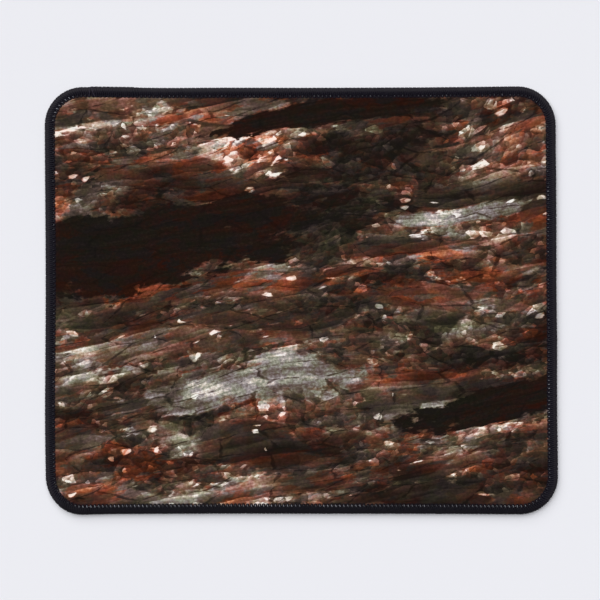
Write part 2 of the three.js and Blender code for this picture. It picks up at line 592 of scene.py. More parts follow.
    def bump(self, height: Socket, strength: float, distance: float) -> Socket:
        """Turns a height into a normal."""
        return self.node("Bump", {"Height": height, "Strength": strength, "Distance": distance}).outputs[0]

    def surface(self, **values: Value) -> bpy.types.Material:
        """Ends the recipe with its shader.

        Args:
            values: what the shader takes, by the names of its inputs with underscores for spaces.

        Returns:
            The material.
        """
        inputs = {name.replace("_", " "): value for name, value in values.items()}
        shader = self.node("BsdfPrincipled", inputs)
        self.node("OutputMaterial", {"Surface": shader.outputs[0]})
        return self.material


# --- Finishes --------------------------------------------------------------------------------------------

# Along y, where the sewn band of the front side begins and where it is reached in full. There the thread
# takes painted shade and less painted highlight, and the cloth less painted seam shade.
FRONT_BAND = (-90 * MM, -99 * MM)


def along_front(recipe: Recipe) -> Socket:
    """1 on the sewn band of the front side and 0 behind it, on Object coordinates."""
    return recipe.remap(recipe.parts(recipe.place())[1], *FRONT_BAND)


@dataclass(frozen=True)
class Mass:
    """A smooth mass in the printed rock: an ellipse with ragged edges, in millimetres."""

    along: float
    across: float
    half_length: float
    half_height: float


@dataclass(frozen=True)
class Flakes:
    """Broken flakes of one size in the printed rock, in millimetres, and how strongly they mark it."""

    length: float
    height: float
    contrast: float
    glint: float
    hue_share: float


@dataclass(frozen=True)
class Lumps:
    """Noise whose lumps have a size along and across the beds, in millimetres, with some finer layers."""

    length: float
    height: float
    finer: float = 4


@dataclass(frozen=True)
class Marks:
    """A brightness of the printed rock, and how strongly each kind of mark changes it."""

    brightness: float
    flakes: float
    streaks: float
    grain: float
    patches: float


@dataclass(frozen=True)
class RockPrint:
    """A made-up broken rock face, drawn in millimetres along and across bedding that rises to the right.

    Its light is a power of e, whose exponent adds up flakes of several sizes, streaks and grain. Smooth
    masses lie over the flakes, and then chips and cracks. The light is coloured at the end. Fields that are
    steps hold the ends of a smooth step, and where they hold four numbers, also what it gives at each end.
    """

    recipe: Recipe
    bedding_tilt: float = math.radians(9)
    roughness: float = 0.6
    crumbs: tuple[Flakes, ...] = (
        Flakes(15, 7.5, 0.95, 0.2, 0.35),
        Flakes(5.6, 3.6, 0.75, 0.8, 0.35),
        Flakes(2.4, 1.9, 0.58, 0.9, 0.35),
    )
    slabs: tuple[Flakes, ...] = (
        Flakes(62, 9, 0.95, 0.0, 0.5),
        Flakes(22, 4.8, 0.65, 0.3, 0.3),
        Flakes(7, 2.8, 0.3, 0.3, 0.25),
    )
    facet_softness: float = 0.12
    facet_lean: float = 0.9
    facet_rise: float = 0.4
    glint_step: Step = (0.92, 0.97)
    dark_masses: tuple[Mass, ...] = (Mass(-62, 36, 88, 19), Mass(88, -62, 50, 11), Mass(30, 84, 60, 7))
    silver_masses: tuple[Mass, ...] = (Mass(-30, -36, 58, 11), Mass(82, 30, 34, 5))
    rust_masses: tuple[Mass, ...] = (Mass(75, -5, 60, 16), Mass(-95, -62, 40, 14), Mass(-20, 70, 40, 8))
    bends: Lumps = Lumps(110, 60, 1)
    bend_reach: tuple[float, float] = (5, 9)
    rags: Lumps = Lumps(12, 5)
    rag_reach: tuple[float, float] = (2.2, 1.0)
    styles: Lumps = Lumps(60, 20, 5)
    style_step: Step = (-0.02, 0.02)
    streaks: Lumps = Lumps(50, 1.6, 3)
    grains: Lumps = Lumps(1.5, 1.2, 2)
    zones: Lumps = Lumps(80, 28)
    rock_marks: Marks = Marks(brightness=0.2, flakes=1.0, streaks=0.7, grain=0.85, patches=4.5)
    edges: Lumps = Lumps(24, 9)
    edge_swing: float = 2.6
    edge_flaking: float = 0.22
    dark_edge: float = 0.3
    dark_brightness: float = 0.05
    dark_marking: float = 0.08
    silver_edge: float = 0.45
    silver_marks: Marks = Marks(brightness=0.42, flakes=0.5, streaks=0.9, grain=1.1, patches=2.4)
    silver_patches: Lumps = Lumps(30, 9, 3)
    rust_edge: float = 0.8
    rust_hue: float = 0.25
    hue_patches: Lumps = Lumps(50, 16)
    hue_swing: float = 1.5
    grey_patches: Lumps = Lumps(20, 7)
    grey_aside: tuple[float, float, float] = (300.0, 80.0, 0.0)
    grey_step: Step = (0.02, 0.10)
    grey_share: float = 0.85
    chip_size: tuple[float, float] = (7.0, 4.0)
    chip_rags: Lumps = Lumps(3.0, 2.0)
    chip_rag_reach: tuple[float, float] = (0.9, 0.6)
    chip_clusters: Lumps = Lumps(42, 20, 2)
    chip_chance_step: Step = (0.05, 0.22, -0.02, 0.2)
    chip_picked_step: Step = (1.0, 1.01)
    chip_rim_step: Step = (0.25, 0.42, 1.0, 0.0)
    chip_brightness: float = 0.62
    chip_flaking: float = 0.3
    crack_spacing: tuple[float, float] = (30, 7.5)
    crack_gaps: Lumps = Lumps(13, 8, 3)
    crack_gap_step: Step = (-0.08, 0.12, 0.0, 0.05)
    crack_shade_step: Step = (0.3, 1.1, 0.5, 1.0)
    thinnest_crack: float = 0.004
    casts: Lumps = Lumps(7, 5, 3)
    cast_step: Step = (-0.14, 0.14)
    fading_step: Step = (0.45, 0.95, 0.0, 0.8)
    grey_tint: Colour = (0.74, 1.08, 1.22, 1.0)
    pink_cast: Colour = (1.05, 0.95, 1.07, 1.0)
    olive_cast: Colour = (0.98, 1.03, 0.87, 1.0)
    lights: Stops = (
        (0.0, dye(19, 13, 10)),
        (0.06, dye(31, 21, 17)),
        (0.12, dye(50, 36, 30)),
        (0.22, dye(75, 54, 43)),
        (0.36, dye(112, 82, 68)),
        (0.5, dye(146, 118, 105)),
        (0.66, dye(180, 157, 144)),
        (0.82, dye(216, 192, 178)),
        (1.0, dye(248, 238, 230)),
    )
    tints: Stops = (
        (0.0, (0.68, 1.08, 0.95, 1.0)),
        (0.3, (0.86, 1.04, 1.0, 1.0)),
        (0.5, (1.06, 1.0, 0.92, 1.0)),
        (0.64, (1.19, 0.93, 0.86, 1.0)),
        (0.8, (1.36, 0.86, 0.70, 1.0)),
        (1.0, (1.70, 0.78, 0.48, 1.0)),
    )

    def noise(self, at: Socket, lumps: Lumps, colour: bool = False) -> Socket:
        """Noise with lumps of one size, as one number or as three."""
        per_mm = (1 / lumps.length, 1 / lumps.height, 1)
        return self.recipe.noise(at, per_mm, lumps.finer, self.roughness, colour)

    def level(self, at: Socket, lumps: Lumps) -> Socket:
        """Such noise about zero, mostly between -0.2 and 0.2."""
        return self.recipe.math("SUBTRACT", self.noise(at, lumps), 0.5)

    def shaken(self, at: Socket, lumps: Lumps, reach: tuple[float, float]) -> Socket:
        """Coordinates moved about by such noise, as far as a reach along and across."""
        away = self.recipe.vector("SUBTRACT", self.noise(at, lumps, colour=True), (0.5, 0.5, 0.5))
        return self.recipe.vector("MULTIPLY_ADD", away, (2 * reach[0], 2 * reach[1], 0.0), at)

    def marked(self, marks: Marks, flakes: Socket, patches: Socket) -> Socket:
        """Works out light, as a brightness times e to the sum of marks, each times its strength.

        Args:
            marks: the brightness and the strengths.
            flakes: the exponent that flakes give.
            patches: the exponent that wide patches give.

        Returns:
            The light.
        """
        kinds = (flakes, marks.flakes), (self.streak, marks.streaks), (self.grain, marks.grain)
        exponent = self.recipe.weighed(*kinds, (patches, marks.patches))
        return self.recipe.product(self.recipe.math("EXPONENT", exponent), marks.brightness)

    @cached_property
    def plane(self) -> Socket:
        """Where a point is, in millimetres along and across the beds."""
        turn = {"Scale": (1 / MM, 1 / MM, 0.0), "Rotation": (0.0, 0.0, -self.bedding_tilt)}
        return self.recipe.node("Mapping", {"Vector": self.recipe.place(), **turn}).outputs[0]

    @cached_property
    def bent(self) -> Socket:
        """The plane with its beds gently bent."""
        return self.shaken(self.plane, self.bends, self.bend_reach)

    @cached_property
    def at(self) -> Socket:
        """The bent plane with everything on it made ragged."""
        return self.shaken(self.bent, self.rags, self.rag_reach)

    @cached_property
    def streak(self) -> Socket:
        """Long thin streaks along the beds."""
        return self.level(self.bent, self.streaks)

    @cached_property
    def grain(self) -> Socket:
        """The rock's fine grain."""
        return self.level(self.plane, self.grains)

    @cached_property
    def crumbly(self) -> tuple[Socket, Socket]:
        """The light and hue of small blunt flakes."""
        return self.broken(self.crumbs)

    @cached_property
    def slabby(self) -> tuple[Socket, Socket]:
        """The light and hue of long flat flakes."""
        return self.broken(self.slabs)

    @cached_property
    def rough(self) -> Socket:
        """How far the edges of the masses run in and out."""
        swing = self.recipe.product(self.level(self.at, self.edges), self.edge_swing)
        return self.recipe.math("MULTIPLY_ADD", self.crumbly[0], self.edge_flaking, swing)

    @cached_property
    def dark(self) -> Socket:
        """1 inside the long smooth dark bands."""
        return self.inside(self.dark_masses, self.dark_edge)

    @cached_property
    def silver(self) -> Socket:
        """1 inside the silver slabs."""
        return self.inside(self.silver_masses, self.silver_edge)

    def broken(self, layers: tuple[Flakes, ...]) -> tuple[Socket, Socket]:
        """Lays flakes over each other, each a facet with a tone of its own, lighter towards its top.

        Args:
            layers: the flakes of each size.

        Returns:
            The exponent of their light, about zero, and a hue from 0 to 1 that changes from flake to flake.
        """
        recipe, exponents, hues = self.recipe, [], []
        for flakes in layers:
            per_mm = (1 / flakes.length, 1 / flakes.height, 1)
            cell = recipe.cells(self.at, per_mm, "SMOOTH_F1")
            cell.inputs["Smoothness"].default_value = self.facet_softness
            tone, lean, hue = recipe.parts(cell.outputs["Color"])
            in_cells = recipe.vector("MULTIPLY", self.at, per_mm)
            right, up, _ = recipe.parts(recipe.vector("SUBTRACT", in_cells, cell.outputs["Position"]))
            slant = recipe.product(recipe.math("SUBTRACT", lean, 0.5), right)
            facet = recipe.math("MULTIPLY_ADD", slant, self.facet_lean, recipe.product(up, self.facet_rise))
            glint = recipe.remap(tone, *self.glint_step, -0.5, flakes.glint - 0.5)
            exponents.append(recipe.product(recipe.sum_of(tone, facet, glint), flakes.contrast))
            hues.append(recipe.product(hue, flakes.hue_share))
        return recipe.sum_of(*exponents), recipe.sum_of(*hues)

    def inside(self, masses: tuple[Mass, ...], soft: float) -> Socket:
        """Finds where masses lie.

        A mass ends where 1 less the squared distance from its middle, in half sizes, plus the roughness is 0.

        Args:
            masses: the masses.
            soft: what that sum is where a mass is whole.

        Returns:
            1 inside any of the masses and 0 outside.
        """
        recipe, found = self.recipe, []
        for mass in masses:
            away = recipe.vector("SUBTRACT", self.bent, (mass.along, mass.across, 0.0))
            away = recipe.vector("MULTIPLY", away, (1 / mass.half_length, 1 / mass.half_height, 0.0))
            depth = recipe.math("SUBTRACT", recipe.math("ADD", self.rough, 1.0), recipe.squared_length(away))
            found.append(recipe.remap(depth, 0.0, soft))
        return reduce(partial(recipe.math, "MAXIMUM"), found)

    def flakes(self) -> tuple[Socket, Socket]:
        """The light's exponent and the hue of crumbs in some places and slabs in others."""
        style = self.recipe.remap(self.level(self.at, self.styles), *self.style_step)
        return tuple(self.recipe.blend(style, *pair) for pair in zip(self.crumbly, self.slabby))

    def massed(self, light: Socket) -> Socket:
        """Lays the dark and the silver masses over the flakes.

        Args:
            light: the field of light so far.

        Returns:
            The light with the masses.
        """
        recipe = self.recipe
        marks = recipe.math("ADD", self.streak, self.grain)
        dark_light = recipe.math("MULTIPLY_ADD", marks, self.dark_marking, self.dark_brightness)
        patches = self.level(self.at, self.silver_patches)
        silver_light = self.marked(self.silver_marks, self.slabby[0], patches)
        return recipe.blend(self.silver, recipe.blend(self.dark, light, dark_light), silver_light)

    def chipped(self, light: Socket) -> Socket:
        """Strews pale chips, in clusters that stay clear of the dark masses.

        Args:
            light: the field of light so far.

        Returns:
            The light with the chips.
        """
        recipe = self.recipe
        ragged = self.shaken(self.at, self.chip_rags, self.chip_rag_reach)
        chip = recipe.cells(ragged, (1 / self.chip_size[0], 1 / self.chip_size[1], 1))
        draw = recipe.parts(chip.outputs["Color"])[0]
        chance = recipe.remap(self.level(self.plane, self.chip_clusters), *self.chip_chance_step)
        picked = recipe.remap(recipe.math("ADD", draw, chance), *self.chip_picked_step)
        near = recipe.remap(chip.outputs["Distance"], *self.chip_rim_step)
        here = recipe.product(picked, near, recipe.math("SUBTRACT", 1.0, self.dark))
        added = recipe.math("MULTIPLY_ADD", self.crumbly[0], self.chip_flaking, self.chip_brightness)
        return recipe.math("MULTIPLY_ADD", here, added, light)

    def cracked(self, light: Socket) -> Socket:
        """Darkens cracks, which open and close along their way.

        Args:
            light: the field of light so far.

        Returns:
            The light with the cracks.
        """
        recipe, (length, height) = self.recipe, self.crack_spacing
        split = recipe.cells(self.at, (1 / length, 1 / height, 1), "DISTANCE_TO_EDGE")
        gap = recipe.remap(self.level(self.plane, self.crack_gaps), *self.crack_gap_step)
        away = recipe.math("DIVIDE", split.outputs["Distance"], recipe.math("ADD", gap, self.thinnest_crack))
        return recipe.product(light, recipe.remap(away, *self.crack_shade_step))

    def tint(self, hue: Socket) -> Socket:
        """Colours the rock rusty, greenish or grey.

        Args:
            hue: the hue of the flakes.

        Returns:
            The factors for red, green and blue.
        """
        recipe = self.recipe
        rust = self.inside(self.rust_masses, self.rust_edge)
        patches = self.level(self.at, self.hue_patches)
        hue = recipe.weighed((patches, self.hue_swing), (hue, 1.0), (rust, self.rust_hue))
        aside = recipe.vector("ADD", self.at, self.grey_aside)
        greyed = recipe.remap(self.level(aside, self.grey_patches), *self.grey_step)
        grey = recipe.math("MAXIMUM", self.silver, recipe.product(greyed, self.grey_share))
        tint = recipe.mix(grey, recipe.ramp(hue, self.tints), self.grey_tint)
        cast = recipe.remap(self.level(self.plane, self.casts), *self.cast_step)
        return recipe.mix(1.0, tint, recipe.mix(cast, self.pink_cast, self.olive_cast), "MULTIPLY")

    def colour(self) -> Socket:
        """Draws the print.

        Returns:
            Its colour, whose tint fades where it is bright.
        """
        recipe, (exponent, hue) = self.recipe, self.flakes()
        light = self.marked(self.rock_marks, exponent, self.level(self.at, self.zones))
        light = self.cracked(self.chipped(self.massed(light)))
        tint = recipe.mix(recipe.remap(light, *self.fading_step), self.tint(hue), WHITE)
        return recipe.mix(1.0, recipe.ramp(light, self.lights), tint, "MULTIPLY")


@dataclass(frozen=True)
class PrintedCloth:
    """Fine woven polyester, dye printed. Shade is painted on it beside the seam's loop tips, least of all in
    front, and in the hollows of its weave.
    """

    thread_pitch_mm: float = 0.36
    weave_depth: float = 0.03 * MM
    weave_bump: float = 0.3
    # Painted shade: the print is darker in the hollows of the weave and a little lighter on its crowns.
    weave_shade: tuple[float, float] = (0.8, 1.04)
    crossing_step: Step = (-0.25, 0.25)
    # Painted shade: the print darkens beside the seam's loop tips, least of all in front.
    seam_shade_colour: Colour = dye(30, 24, 34)
    seam_shade_share: float = 0.75
    seam_shade_mm: tuple[float, float] = (4.75, 5.25)
    front_seam_shade_share: float = 0.3

    def weave(self, recipe: Recipe) -> Socket:
        """Draws a plain weave: each thread is a round ridge that passes over every other crossing one.

        Args:
            recipe: the recipe to add it to.

        Returns:
            Its height, from 0 to 1.
        """
        per_thread = math.pi / (self.thread_pitch_mm * MM)
        x, y, _ = recipe.parts(recipe.vector("MULTIPLY", recipe.place(), (per_thread,) * 3))
        sine_x, sine_y = recipe.math("SINE", x), recipe.math("SINE", y)
        over = recipe.remap(recipe.product(sine_x, sine_y), *self.crossing_step)
        return recipe.blend(over, recipe.math("ABSOLUTE", sine_x), recipe.math("ABSOLUTE", sine_y))

    def painted_seam_shade(self, recipe: Recipe) -> Socket:
        """How much painted seam shade a place takes."""
        share = recipe.remap(recipe.inset(), *self.seam_shade_mm, self.seam_shade_share, 0.0)
        return recipe.product(share, recipe.remap(along_front(recipe), 0.0, 1.0, 1.0, self.front_seam_shade_share))

    def material(self) -> bpy.types.Material:
        """Mixes the cloth's material.

        Returns:
            The material.
        """
        recipe = Recipe("printed_cloth")
        weave = self.weave(recipe)
        # The weave's height paints shade into its hollows.
        printed = recipe.scaled(RockPrint(recipe).colour(), recipe.remap(weave, 0.0, 1.0, *self.weave_shade))
        return recipe.surface(
            # The painted seam shade is mixed over the print.
            Base_Color=recipe.mix(self.painted_seam_shade(recipe), printed, self.seam_shade_colour),
            Roughness=0.9,
            Specular_IOR_Level=0.05,
            Normal=recipe.bump(weave, self.weave_bump, self.weave_depth),
        )


@dataclass(frozen=True)
class Thread:
    """Black polyester thread of two plies, twisted together. Its map runs along the thread in millimetres.
    Its colour holds painted shade, a painted highlight on the rim and painted glints.
    """

    name: str
    colour: Colour
    roughness: float
    # Painted highlight: a pale colour laid on the rim's outer roll, standing in for light falling on it,
    # weaker in front.
    painted_rim_highlight: Colour
    gloss: float = 0.1
    # Painted glints: light patches of the glint colour stand in for highlights on the thread.
    painted_glint_share: float = 0.0
    glint: Colour = dye(132, 132, 138)
    twist_mm: float = 1.3
    plies: float = 2.0
    ply_depth: float = 0.05 * MM
    ply_bump: float = 0.6
    fibre_height: float = 0.6
    # Painted shade: the yarn's colour is darker in the grooves between the plies and lighter on their crowns.
    ply_shade: float = 0.35
    fibre_shade: float = 0.7
    patch_shade: float = 0.5
    # Painted shade: the thread's colour is darker on the front side.
    front_shade: float = -0.35
    shade_step: Step = (0.45, 1.1)
    darkest: float = 0.6
    lightest: float = 1.4
    painted_glint_step: Step = (0.28, 0.72)
    # Where the painted rim highlight lies, by inset in millimetres, and how much less of it there is in
    # front.
    rim_highlight_step: Step = (1.4, 2.7, 0.45, 0.0)
    side_highlight_step: Step = (0.2, 1.0, 0.6, 1.0)
    front_highlight: float = 0.45

    def ply(self, recipe: Recipe, walk: Socket) -> Socket:
        """Draws the round ridges of the plies, as the size of a sine of how far they have turned.

        Args:
            recipe: the recipe to add them to.
            walk: the place along and around the thread.

        Returns:
            Their height, from 0 to 1.
        """
        along, around, _ = recipe.parts(walk)
        turns = recipe.math("MULTIPLY_ADD", along, 1 / self.twist_mm, recipe.product(around, self.plies))
        return recipe.math("ABSOLUTE", recipe.math("SINE", recipe.product(turns, math.pi)))

    def painted_rim_highlight_share(self, recipe: Recipe, front: Socket) -> Socket:
        """Says how much painted highlight the thread takes: most near the rim, and less down its side and in
        front.

        Args:
            recipe: the recipe to add it to.
            front: 1 on the front side.

        Returns:
            The share, from 0 to 1.
        """
        near_rim = recipe.remap(recipe.inset(), *self.rim_highlight_step)
        on_top = recipe.remap(recipe.inset(), *self.side_highlight_step)
        return recipe.product(near_rim, on_top, recipe.remap(front, 0.0, 1.0, 1.0, self.front_highlight))

    def material(self) -> bpy.types.Material:
        """Mixes the thread's material.

        Returns:
            The material.
        """
        recipe = Recipe(self.name)
        walk = recipe.node("UVMap", uv_map=WALK_MAP).outputs[0]
        front = along_front(recipe)
        ply = self.ply(recipe, walk)
        fibres = recipe.noise(walk, (3.0, 14.0, 1.0), 3, 0.6)
        patches = recipe.noise(walk, (0.12, 0.5, 1.0), 2, 0.5)
        # Painted shade in the plies' grooves, with a random tone from fibres and patches.
        shade = recipe.weighed((ply, self.ply_shade), (fibres, self.fibre_shade), (patches, self.patch_shade))
        # Painted shade: the yarn is darker on the front side.
        shade = recipe.math("ADD", shade, recipe.remap(front, 0.0, 1.0, 0.0, self.front_shade))
        dark, light = toned(self.colour, self.darkest), toned(self.colour, self.lightest)
        yarn = recipe.mix(recipe.remap(shade, *self.shade_step), dark, light)
        # Painted glints: patches of the glint colour stand in for highlights.
        painted_glint_patches = recipe.remap(recipe.noise(recipe.place(), (170.0, 170.0, 1.0), 2, 0.5), *self.painted_glint_step)
        yarn = recipe.mix(recipe.product(painted_glint_patches, self.painted_glint_share), yarn, self.glint)
        height = recipe.weighed((ply, 1.0), (fibres, self.fibre_height))
        return recipe.surface(
            # The painted rim highlight is mixed over the yarn's colour.
            Base_Color=recipe.mix(self.painted_rim_highlight_share(recipe, front), yarn, self.painted_rim_highlight),
            Roughness=self.roughness,
            Specular_IOR_Level=self.gloss,
            Normal=recipe.bump(height, self.ply_bump, self.ply_depth),
        )


@dataclass(frozen=True)
class Rubber:
    """Black natural rubber with a fine matt grain."""

    colour: Colour = dye(34, 34, 36)
    palest: float = 1.6
    cloud_step: Step = (0.35, 0.7)
    roughness_step: Step = (0.3, 0.7, 0.68, 0.86)
    grain_depth: float = 0.05 * MM
    grain_bump: float = 0.5

    def material(self) -> bpy.types.Material:
        """Mixes the rubber's material.

        Returns:
            The material.
        """
        recipe = Recipe("base_rubber")
        grain = recipe.noise(recipe.place(), (2500.0,) * 3, 4, 0.7, dimensions="3D")
        clouds = recipe.noise(recipe.place(), (30.0,) * 3, 3, 0.6, dimensions="3D")
        cloudy = recipe.remap(clouds, *self.cloud_step)
        return recipe.surface(
            Base_Color=recipe.mix(cloudy, self.colour, toned(self.colour, self.palest)),
            Roughness=recipe.remap(grain, *self.roughness_step),
            Specular_IOR_Level=0.35,
            Normal=recipe.bump(grain, self.grain_bump, self.grain_depth),
        )


@dataclass(frozen=True)
class StudioFloor:
    """A plain pale floor with the faintest unevenness."""

    colour: Colour = (0.817, 0.821, 0.863, 1.0)
    darkest: float = 0.985

    def material(self) -> bpy.types.Material:
        """Mixes the floor's material.

        Returns:
            The material.
        """
        recipe = Recipe("studio_floor")
        patches = recipe.noise(recipe.place(), (3.0,) * 3, 2, 0.5)
        colour = recipe.mix(patches, self.colour, toned(self.colour, self.darkest))
        return recipe.surface(Base_Color=colour, Roughness=0.9, Specular_IOR_Level=0.1)


# --- The sheet -------------------------------------------------------------------------------------------


@dataclass(frozen=True)
class Waves:
    """The slight unevenness of a sheet that lies loose: three crossing waves that fade at the seam."""

    depth: float = 0.05 * MM
    lengths: tuple[float, float, float] = (83 * MM, 61 * MM, 47 * MM)
    directions: tuple[float, float, float] = (0.4, 1.9, 2.9)
    shift: float = 7.0
    fade: tuple[float, float] = (6 * MM, 16 * MM)

    def height(self, points: np.ndarray, outline: Outline) -> np.ndarray:
        """Adds up the waves, each a sine of the distance gone in its direction.

        Args:
            points: rows of x and y.
            outline: the pad's outline.

        Returns:
            The height that the waves add at each point.
        """
        total = np.zeros(len(points))
        for length, direction in zip(self.lengths, self.directions):
            along = points @ np.array([math.cos(direction), math.sin(direction)])
            total += np.sin(2 * math.pi * along / length + self.shift * direction)
        return self.depth * total / len(self.lengths) * eased(outline.inset_of(points), *self.fade)


def welded(piece: bpy.types.Object) -> None:
    """Joins vertices at one place, which also turns quads with no width on one side into triangles.

    Args:
        piece: the piece, whose mesh is changed.
    """
    form = bmesh.new()
    form.from_mesh(piece.data)
    bmesh.ops.remove_doubles(form, verts=form.verts, dist=1e-3 * MM)
    form.to_mesh(piece.data)
    form.free()
    piece.data.shade_smooth()


@dataclass(frozen=True)
class SheetPart:
    """A closed flat layer of the pad: two faces joined by a rim.

    Each face is a strip of rings that follow the outline, and inside it a plain grid between the four centres
    of the corners. The rings' stations lie level with the grid's lines, so both share their vertices.
    """

    outline: Outline
    station_step: float = 2.6 * MM
    corner_steps: int = 12

    @cached_property
    def side_steps(self) -> np.ndarray:
        """How many steps each of the four sides has."""
        return np.round(2 * self.outline.half_lengths / self.station_step).astype(int)

    def stations(self) -> tuple[np.ndarray, np.ndarray]:
        """Lists the stations, once round.

        Returns:
            The stretch that each is on, and its share of the way along it.
        """
        steps = [n for side in self.side_steps for n in (int(side), self.corner_steps)]
        stretch = np.repeat(np.arange(len(steps)), steps)
        return stretch, np.concatenate([np.arange(n) / n for n in steps])

    def rings(self, rim: np.ndarray) -> np.ndarray:
        """Works out the rings' points.

        Args:
            rim: rows of inset and height, one for each ring.

        Returns:
            For each ring, a row of x, y and z for each station.
        """
        line, outward = self.outline.at(*self.stations())
        flat = line[None] - outward[None] * rim[:, 0, None, None]
        height = np.broadcast_to(rim[:, 1, None, None], (*flat.shape[:2], 1))
        return np.concatenate([flat, height], axis=-1)

    def middle(self, height: float) -> np.ndarray:
        """Works out the points of the grid between the corner centres, with its sides drawn in.

        Args:
            height: how far above the floor it lies.

        Returns:
            Rows of x, y and z, one line along y after another.
        """
        reach_x, reach_y = self.outline.reaches[:2] - self.outline.corner_radius
        across = np.linspace(-1, 1, self.side_steps[1] + 1)[:, None]
        deep = np.linspace(-1, 1, self.side_steps[0] + 1)[None, :]
        x = across * (reach_x - self.outline.side_draw_in * np.cos(deep * math.pi / 2) ** 2)
        y = deep * (reach_y - self.outline.side_draw_in * np.cos(across * math.pi / 2) ** 2)
        return np.stack([x, y, np.full_like(x, height)], axis=-1).reshape(-1, 3)

    def patch(self) -> np.ndarray:
        """Numbers the corners of the grid's quads, which face upwards.

        Returns:
            Four vertex numbers for each quad.
        """
        line = self.side_steps[0] + 1
        corner = (np.arange(self.side_steps[1])[:, None] * line + np.arange(line - 1)).ravel()
        return np.stack([corner, corner + line, corner + line + 1, corner + 1], axis=-1)

    def build(self, name: str, rim: np.ndarray, lift: Waves | None = None) -> bpy.types.Object:
        """Builds the layer.

        Args:
            name: the piece's name.
            rim: rows of inset and height, from the middle of the underside round the edge to the middle of
                the top. The first and last inset are the corner radius.
            lift: waves to add to the top face.

        Returns:
            The closed piece, which carries its inset.
        """
        rings, bottom, top = self.rings(rim), self.middle(rim[0, 1]), self.middle(rim[-1, 1])
        points = np.concatenate([rings.reshape(-1, 3), bottom, top])
        counts = [rings.shape[1]] * len(rim) + [len(bottom), len(top)]
        if lift is not None:
            on_top = np.arange(len(rim)) >= np.argmax(rim[:, 1] >= rim[-1, 1])
            facing_up = np.repeat([*on_top, False, True], counts)
            points[:, 2] += np.where(facing_up, lift.height(points[:, :2], self.outline), 0.0)
        strip = wrapped_quads(len(rim), rings.shape[1])[:, ::-1]
        below = self.patch()[:, ::-1] + len(rim) * rings.shape[1]
        above = self.patch() + len(rim) * rings.shape[1] + len(bottom)
        piece = mesh_of(name, points, np.concatenate([strip, below, above]))
        carry_inset(piece, np.repeat([*rim[:, 0], rim[0, 0], rim[-1, 0]], counts))
        welded(piece)
        return piece


@dataclass(frozen=True)
class Cloth:
    """The printed cloth on top of the rubber, which dips where the thread squeezes the rim."""

    sizes: PadSizes
    finish: PrintedCloth = PrintedCloth()

    def rim(self) -> np.ndarray:
        """Lists the edge's profile.

        Returns:
            Rows of inset and height, from the underside's middle round the cut edge to the top's middle.
        """
        radius, bond, top = self.sizes.outline.corner_radius, self.sizes.bond, self.sizes.sheet_top
        cover = self.sizes.thread_cover
        under = [(radius, 0.01), (7 * MM, 0.01), (5 * MM, -0.09), (4.6 * MM, -0.19)]
        under += [(cover + 0.05 * MM, -0.19)]
        edge = [(cover + 0.02 * MM, -0.44), (cover + 0.08 * MM, -0.38), (cover + 0.35 * MM, -0.25)]
        over = [(4.4 * MM, -0.2), (4.75 * MM, -0.17), (5 * MM, -0.11), (5.25 * MM, -0.06), (5.6 * MM, -0.025)]
        over += [(6.2 * MM, -0.004), (7 * MM, 0.0), (10 * MM, 0.0), (14 * MM, 0.0), (radius, 0.0)]
        low = [(inset, bond + step * MM) for inset, step in under]
        high = [(inset, top + step * MM) for inset, step in edge + over]
        return np.array(low + high)

    def build(self, rubber: bpy.types.Object) -> bpy.types.Object:
        """Args:
            rubber: the sheet that it lies on; not used.

        Returns:
            The piece.
        """
        piece = SheetPart(self.sizes.outline).build("printed_cloth", self.rim(), Waves())
        piece.data.materials.append(self.finish.material())
        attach(piece, "root")
        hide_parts("cloth_top")
        return piece


@dataclass(frozen=True)
class GripPattern:
    """Raised lozenges on the underside, in staggered rows."""

    length: float = 4.2 * MM
    width: float = 2.4 * MM
    gap_x: float = 1.2 * MM
    gap_y: float = 0.72 * MM
    depth: float = 0.2 * MM
    slope: float = 0.25 * MM
    clear_inset: float = 8.5 * MM
    root: float = 0.1 * MM
    most_columns: int = 60
    most_rows: int = 160

    def centres(self, outline: Outline) -> np.ndarray:
        """Lists the middles of the lozenges that lie clear of the seam.

        Args:
            outline: the pad's outline.

        Returns:
            Rows of x and y.
        """
        step_x, step_y = self.length + self.gap_x, self.width + self.gap_y
        columns = np.arange(-self.most_columns, self.most_columns + 1)
        rows = np.arange(-self.most_rows, self.most_rows + 1)
        x, y = np.meshgrid(columns * step_x, rows * step_y / 2, indexing="xy")
        x = x + np.where(rows % 2 == 1, step_x / 2, 0.0)[:, None]
        centres = np.stack([x, y], axis=-1).reshape(-1, 2)
        within = (np.abs(centres) < outline.reaches[:2]).all(axis=-1)
        return centres[within & (outline.inset_of(centres) > self.clear_inset)]

    def points(self, outline: Outline) -> np.ndarray:
        """Works out the corners of every lozenge.

        Args:
            outline: the pad's outline.

        Returns:
            Eight rows of x, y and z for each: four on its face at the floor, then four sunk into the sheet.
        """
        half = np.array([[self.length, 0], [0, self.width], [-self.length, 0], [0, -self.width]]) / 2
        face = half * (1 - 2 * self.slope / np.array([self.length, self.width]))
        face = np.column_stack([face, np.zeros(4)])
        sunk = np.column_stack([half, np.full(4, self.depth + self.root)])
        middles = np.pad(self.centres(outline), ((0, 0), (0, 1)))
        return (np.concatenate([face, sunk])[None] + middles[:, None]).reshape(-1, 3)

    def quads(self, count: int) -> np.ndarray:
        """The six faces of each of count lozenges."""
        one = np.array([[0, 3, 2, 1], [4, 5, 6, 7], [0, 1, 5, 4], [1, 2, 6, 5], [2, 3, 7, 6], [3, 0, 4, 7]])
        return (one[None] + 8 * np.arange(count)[:, None, None]).reshape(-1, 4)


